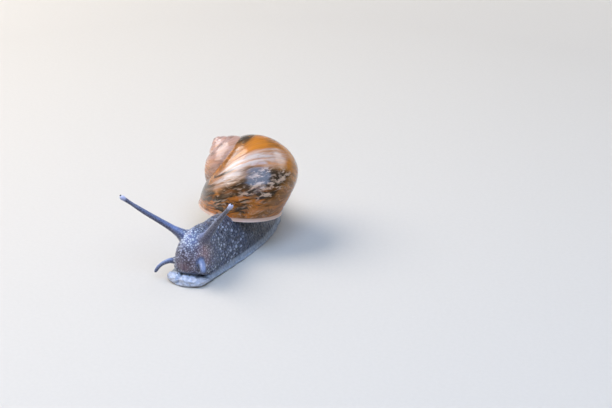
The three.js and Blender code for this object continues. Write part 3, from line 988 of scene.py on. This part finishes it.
# %% Cells that grow along the body
BEAD_TOP, BEAD_LEVEL = 0.52, 0.7  # how far from a groove a bead is full, and what lies level
cell_size = along((-43, 0.62), (-36, 0.7), (-28, 0.88), (-14, 1.05), (10, 1.1), (34, 0.9))
cell_stretch = along((-43, 1.0), (-32, 1.1), (-20, 1.3), (34, 1.5))
ruler = np.linspace(-44, 36, 800)
cell_length = cell_size(ruler) * cell_stretch(ruler)
rows_at = np.concatenate([[0], np.cumsum(np.diff(ruler) / cell_length[1:])])
size_here = cell_size(y)
cells = np.stack([x / size_here, np.interp(y, ruler, rows_at), z / size_here * 1.1], -1)
studded = (1 - smooth(stalk_mask, 0.1, 0.9)) * (1 - fringe) * (1 - sole) * (1 - under_shell)
studded *= 1 - 0.75 * mouth
stud, tone = np.zeros(len(x)), np.full(len(x), 0.5)
for i in np.flatnonzero(studded > 0.01):
    distance, centre = noise.voronoi(Vector(cells[i]))
    stud[i] = distance[1] - distance[0]
    tone[i] = noise.cell(centre[0] * 7.31)
stud = smooth(stud, 0.0, BEAD_TOP)
bead_height = along((-43, 0.13), (-38, 0.20), (-30, 0.22), (-14, 0.16), (10, 0.13), (34, 0.08))(y)
relief = bead_height * (stud - BEAD_LEVEL) * studded
print("beads up to", round(float(bead_height.max()), 2), "mm high")

# %% [markdown]
# ### Skirt, lobes and mouth
# The edge of the foot is never straight: it ripples as it creeps, fine furrows cross it, and in
# front it swells into soft crumpled lobes under the chin. The mouth is a short upright slit
# between two lips that are smoother than the skin round them. Fine rings cross the feelers.

# %% Skirt, lobes, folds and mouth
RIPPLE, FINE_RIPPLE, FURROW, FOLD = 0.45, 0.22, 0.16, 0.38  # heights and depths on the foot
MUSCLE, CREASE, SLIT, FEELER_RING = 0.22, 0.10, 0.5, 0.03  # and above it
ON_FLOOR = 0.06


def winding(pattern, width):
    """1 on the thin lines where a noise is nought, and 0 away from them."""
    return 1 - smooth(np.abs(pattern), 0, width)


ripple = rough(x / 3.2, y / 3.2, 0 * z, 21) * RIPPLE
ripple += rough(x / 1.3, y / 1.3, 0 * z, 22) * FINE_RIPPLE
furrow_way = np.where(front > 0.5, x, y)
furrows = -FURROW * smooth(np.abs(rough(furrow_way / 0.55, z / 3, 0 * z, 27)), 0.0, 0.35)
relief += fringe * (ripple * (1 - 0.7 * front) * smooth(z, 0.1, 0.8) + furrows + 0.1)
lobes = 0.25 - 0.8 * hump(side + 1.4, 0.5) - 0.3 * hump(side - 2.6, 0.9)
relief += front * lobes * smooth(z, 0.2, 1.0)
folds = winding(rough(x / 1.5, y / 1.1, z / 0.9, 31), 0.26)
relief -= FOLD * folds * front * smooth(z, 0.1, 0.7)
relief += MUSCLE * rough(x / 4, y / 5, z / 3, 23) * bare
creases = winding(rough(x / 3, y / 1.3, z / 3, 24), 0.16)
relief -= CREASE * creases * bare * smooth(y, -34, -24)
slit = hump(side, 0.22) - 0.35 * hump(np.abs(side) - 0.75, 0.45)
relief -= SLIT * slit * mouth
rings_round = winding(rough(stalk_share * 30, 0 * x, 0 * x, 28), 0.3)
relief -= FEELER_RING * rings_round * stalk_mask * (1 - smooth(stalk_share, 0.8, 0.9))
relief = np.where(z < ON_FLOOR, np.minimum(relief, 0), relief)
laid = here + normal * relief[:, None]
laid[:, 2] = np.maximum(laid[:, 2], 0)
lay(mesh, laid + BODY_SHIFT)

# %% What the material reads
skin_numbers = {
    "stud": stud * studded, "tone": tone, "stalk": stalk_mask, "reach": stalk_share,
    "lower": lower_mask, "fringe": fringe, "front": front, "sole": sole, "mantle": under_shell,
    "head": 1 - smooth(y, -35, -22), "back_half": smooth(y, -24, -6), "above": normal[:, 2],
    "cheek": cheek, "face": face, "mouth": mouth, "crown_sheen": crown_sheen,
}
for name, values in skin_numbers.items():
    keep(mesh, name, values)

# %% Fewer faces where the skin is plain
# The sole, the skirt and the skin under the shell keep their shape with far fewer faces.
KEPT_FACES = 0.60
WEIGHTS = ((-1, 0.05), (0.2, 0.3), (0.4, 0.5), (0.75, 1.0))  # above what, and the weight there
plain = np.maximum.reduce(
    [sole, under_shell, 0.5 * fringe, 0.35 * smooth(y, -10, 10), 0.3 * stalk_mask]
)
group = skin.vertex_groups.new(name="plain")
for floor_value, weight in WEIGHTS:
    group.add(np.flatnonzero(plain > floor_value).tolist(), weight, "REPLACE")
apply(skin, "DECIMATE", ratio=KEPT_FACES, vertex_group="plain")
mesh = skin.data
laid = places(mesh)
laid[:, 2] = np.maximum(laid[:, 2], 0)
lay(mesh, laid)
report(mesh)

# %% [markdown]
# ### Skin material: wet mollusc skin
# The skin is a clear wet film over grey muscle, dark slate in the grooves and pale lilac on the
# beads; the palest bead tops, most of all on top of the head, are partly painted highlight and
# sheen. It is browner on the cheek, mauve at the lips, bluish on top of the feelers and purple
# below, which is partly painted light from above and painted shade beneath, and pale at the skirt,
# which is thin enough to let light through. Slime gives it a sharp second gloss.

# %% Regions and noises
skin_material, tree, shader = start_material("wet_slate_mollusc_skin")
region = {name: add("Attribute", attribute_name=name, out=2) for name in skin_numbers}
GRAINS = {"patches": 5, "specks": 0.35, "skirt": 0.9, "wet": 0.7, "pores": 0.16}  # in mm
where = add("TexCoord", out=3)
grain = {}
for name, size in GRAINS.items():
    placed = add("Mapping", {"Vector": where, "Scale": (1 / MM / size,) * 3})
    grain[name] = add("TexNoise", {"Vector": placed, "Scale": 1.0, "Detail": 3.0})
patches = add("ValToRGB", [grain["patches"]], stops=[(0.35, 0), (0.65, 0.45)])
specks = add("ValToRGB", [grain["specks"]], stops=[(0.4, 0), (0.7, 1)])

# %% Beads and grooves
# Bead tops are partly their own pale tone and partly painted highlight, palest on the head.
bright = add("Scaled", [region["tone"], 0.8, 0.2])
bead_head_and_glint = add("Colours", [bright, "#8791B2", "#F2F6FA"])
bead_flank = add("Colours", [bright, "#4B5267", "#B5BED2"])
bead_back = add("Colours", [bright, "#394053", "#535D73"])
bead = add("Colours", [region["head"], bead_flank, bead_head_and_glint])
bead = add("Colours", [region["back_half"], bead, bead_back])
groove = add("Colours", [region["back_half"], "#12151E", "#1C202A"])
SPOTS = [  # region, how strong, bead colour, groove colour
    # The crown's pale beads and blue grooves are partly painted sheen on the wet head.
    ("crown_sheen", 0.95, "#E8F2F6", "#626DA0"),
    ("face", 0.75, "#D1C8DA", "#3C1B21"),
    ("cheek", 0.95, "#DDBBB4", "#8A6667"),
    ("mouth", 0.95, "#B49AA3", "#70525B"),
]
for name, strength, bead_colour, groove_colour in SPOTS:
    part = add("Times", [region[name], strength], use_clamp=True)
    bead = add("Colours", [part, bead, bead_colour])
    groove = add("Colours", [part, groove, groove_colour])

# %% Feelers
# Where a feeler faces up it is painted lighter and bluer, a painted highlight, and below it is
# darker, a painted shade; from root to tip the tones are its own.
lit_top = add("ValToRGB", [region["above"]], stops=[(0.0, 0), (0.75, 1)])
shaded_under_side = add("ValToRGB", [region["reach"]], stops=[
    (0.0, "#6A6275"), (0.3, "#373347"), (0.8, "#302936"), (0.90, "#29202C"), (0.93, "#9392AA"),
    (1.0, "#B3B3CD"),
])
lit_upper_side = add("ValToRGB", [region["reach"]], stops=[
    (0.0, "#8A98C8"), (0.3, "#57658C"), (0.8, "#474C67"), (0.90, "#352F3D"), (0.93, "#B1B2CD"),
    (1.0, "#D1D2E8"),
])
feeler = add("Colours", [lit_top, shaded_under_side, lit_upper_side])
short_feeler = add("Colours", [lit_top, "#3F455C", "#7483A6"])
feeler = add("Colours", [region["lower"], feeler, short_feeler])
speck_share = add("Times", [specks, 0.22])
feeler = add("Colours", [speck_share, feeler, "#A2ABCD"])

# %% Skirt and mantle
side_skirt = add("Colours", [grain["skirt"], "#5C636D", "#AEB5BD"])
front_skirt = add("Colours", [grain["skirt"], "#858CA4", "#E6EAF0"])
skirt = add("Colours", [region["front"], side_skirt, front_skirt])
mantle = add("Colours", [specks, "#494643", "#716B62"])

# %% Each region over the last
colour = add("Colours", [region["stud"], groove, bead])
glints = add("Times", [specks, 0.10])
for part, paint in (
    (patches, "#353C4D"), (region["stalk"], feeler), (region["fringe"], skirt),
    (region["mantle"], mantle), (region["sole"], "#A4A3A1"), (glints, "#D7DEF1"),
):
    colour = add("Colours", [part, colour, paint])

# %% Slime and pores
wet = add("Scaled", [grain["wet"], 0.22, 0.20])
bump = add("Bump", {"Height": grain["pores"], "Strength": 0.35, "Distance": 0.00004})
finish_material(skin, skin_material, shader, {
    "Base Color": colour, "Roughness": wet, "Normal": bump, "IOR": 1.40,
    "Coat Weight": 0.6, "Coat Roughness": 0.10, "Coat IOR": 1.34,
    "Subsurface Weight": 0.15, "Subsurface Radius": (0.0006, 0.0005, 0.0005),
    "Subsurface Scale": 1.0,
})
only(skin)
bpy.ops.object.shade_smooth()
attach(skin, "root")
flesh = [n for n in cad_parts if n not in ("shell", "eye_right", "eye_left")]
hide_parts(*flesh)
print("skin replaces", sorted(flesh))

# %% [markdown]
# ## Eyes
# A snail's eye is a black bead no larger than a pin's point, set in the swollen tip of each upper
# feeler. It starts as a sphere. Its front is drawn forward into a small lens with a shoulder
# round it, and its back is flattened into the cup that holds it.

# %% Faces on one side of a bead
def pick_cap(piece, beyond):
    """Selects, in edit mode, the faces whose middles pass a test."""
    work = bmesh.from_edit_mesh(piece.data)
    for face_here in work.faces:
        face_here.select = beyond(face_here.calc_center_median())
    work.select_flush_mode()


# %% Two beads
DIAGONAL = 3.46  # of a ball's box, in radii of the ball
LENS_FROM, LENS_WIDTH, LENS_RISE = 0.72, 0.82, 0.08  # also in radii
CUP_FROM, CUP_LIFT = 0.5, 0.15
eye_material, tree, shader = start_material("wet_black_eye_bead")
placed = add("Mapping", {"Vector": add("TexCoord", out=3), "Scale": (1 / MM / 0.12,) * 3})
eye_grain = add("TexNoise", {"Vector": placed, "Scale": 1.0, "Detail": 2.0})
eye_colour = add("Colours", [eye_grain, "#0A0809", "#231A1C"])
for side_name in ("right", "left"):
    low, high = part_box(f"eye_{side_name}")
    middle = (low + high) / 2
    radius = (high - low).length / DIAGONAL
    line = routes["upper", side_name]
    ahead = Vector(line[-1] - line[-8]).normalized()
    bpy.ops.object.select_all(action="DESELECT")
    bpy.ops.mesh.primitive_uv_sphere_add(
        segments=24, ring_count=14, radius=radius, location=middle,
        rotation=ahead.to_track_quat("Z", "Y").to_euler(),
    )
    eye = bpy.context.object
    eye.name = f"eye_bead_{side_name}"
    bpy.ops.object.transform_apply()
    edit(eye, "DESELECT")
    bpy.context.tool_settings.mesh_select_mode = (False, False, True)
    pick_cap(eye, lambda at: (at - middle).dot(ahead) > radius * LENS_FROM)
    bpy.ops.mesh.extrude_region_move(
        TRANSFORM_OT_translate={"value": ahead * radius * LENS_RISE}
    )
    bpy.ops.transform.resize(value=(LENS_WIDTH,) * 3, center_override=middle + ahead * radius)
    pick_cap(eye, lambda at: (at - middle).dot(ahead) < -radius * CUP_FROM)
    bpy.ops.transform.translate(value=ahead * radius * CUP_LIFT)
    done()
    facing_out(eye)
    apply(eye, "SUBSURF", levels=1, render_levels=1)
    bpy.ops.object.shade_smooth()
    finish_material(eye, eye_material, shader, {
        "Base Color": eye_colour, "Roughness": 0.12, "IOR": 1.38, "Coat Weight": 0.6,
    })
    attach(eye, "root")
    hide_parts(f"eye_{side_name}")
    print("eye", side_name, "at", [round(v * 1000, 2) for v in middle])

# %% [markdown]
# ## Floor, background and the end
# The floor is matt and pale. Away from the snail it glows a little and meets a pale horizon, so
# that no dark edge shows from a low angle. The size of what is seen is printed beside the size of
# the solids.

# %% Floor finish
floor_material, tree, shader = start_material("pale_matt_floor")
place = add("TexCoord", out=3)
floor_grain = add("TexNoise", {"Vector": place, "Scale": 900.0, "Detail": 3.0})
floor_colour = add("Colours", [floor_grain, "#CDC3B4", "#D3C9BA"])
from_middle = add("VectorMath", [place], out=1, operation="LENGTH")
glow = add("ValToRGB", [from_middle], stops=[(0.22, 0), (0.95, 0.56)])
finish_material(floor, floor_material, shader, {
    "Base Color": floor_colour, "Roughness": 0.75,
    "Emission Color": "#FFFDFA", "Emission Strength": glow,
})

# %% Background
tree = world.node_tree
upward = add("SeparateXYZ", [add("TexCoord", out=0)], out=2)
glow = add("ValToRGB", [upward], stops=[(0.03, "#CBCDD0"), (0.20, "#5F6368")])
tree.links.new(glow, tree.nodes["Background"].inputs["Color"])

# %% Size
visual_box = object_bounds()
for name, box in (("solids", cad_box), ("seen", visual_box)):
    print(name, [round(v * 1000, 2) for v in (*box[0], *box[1])])
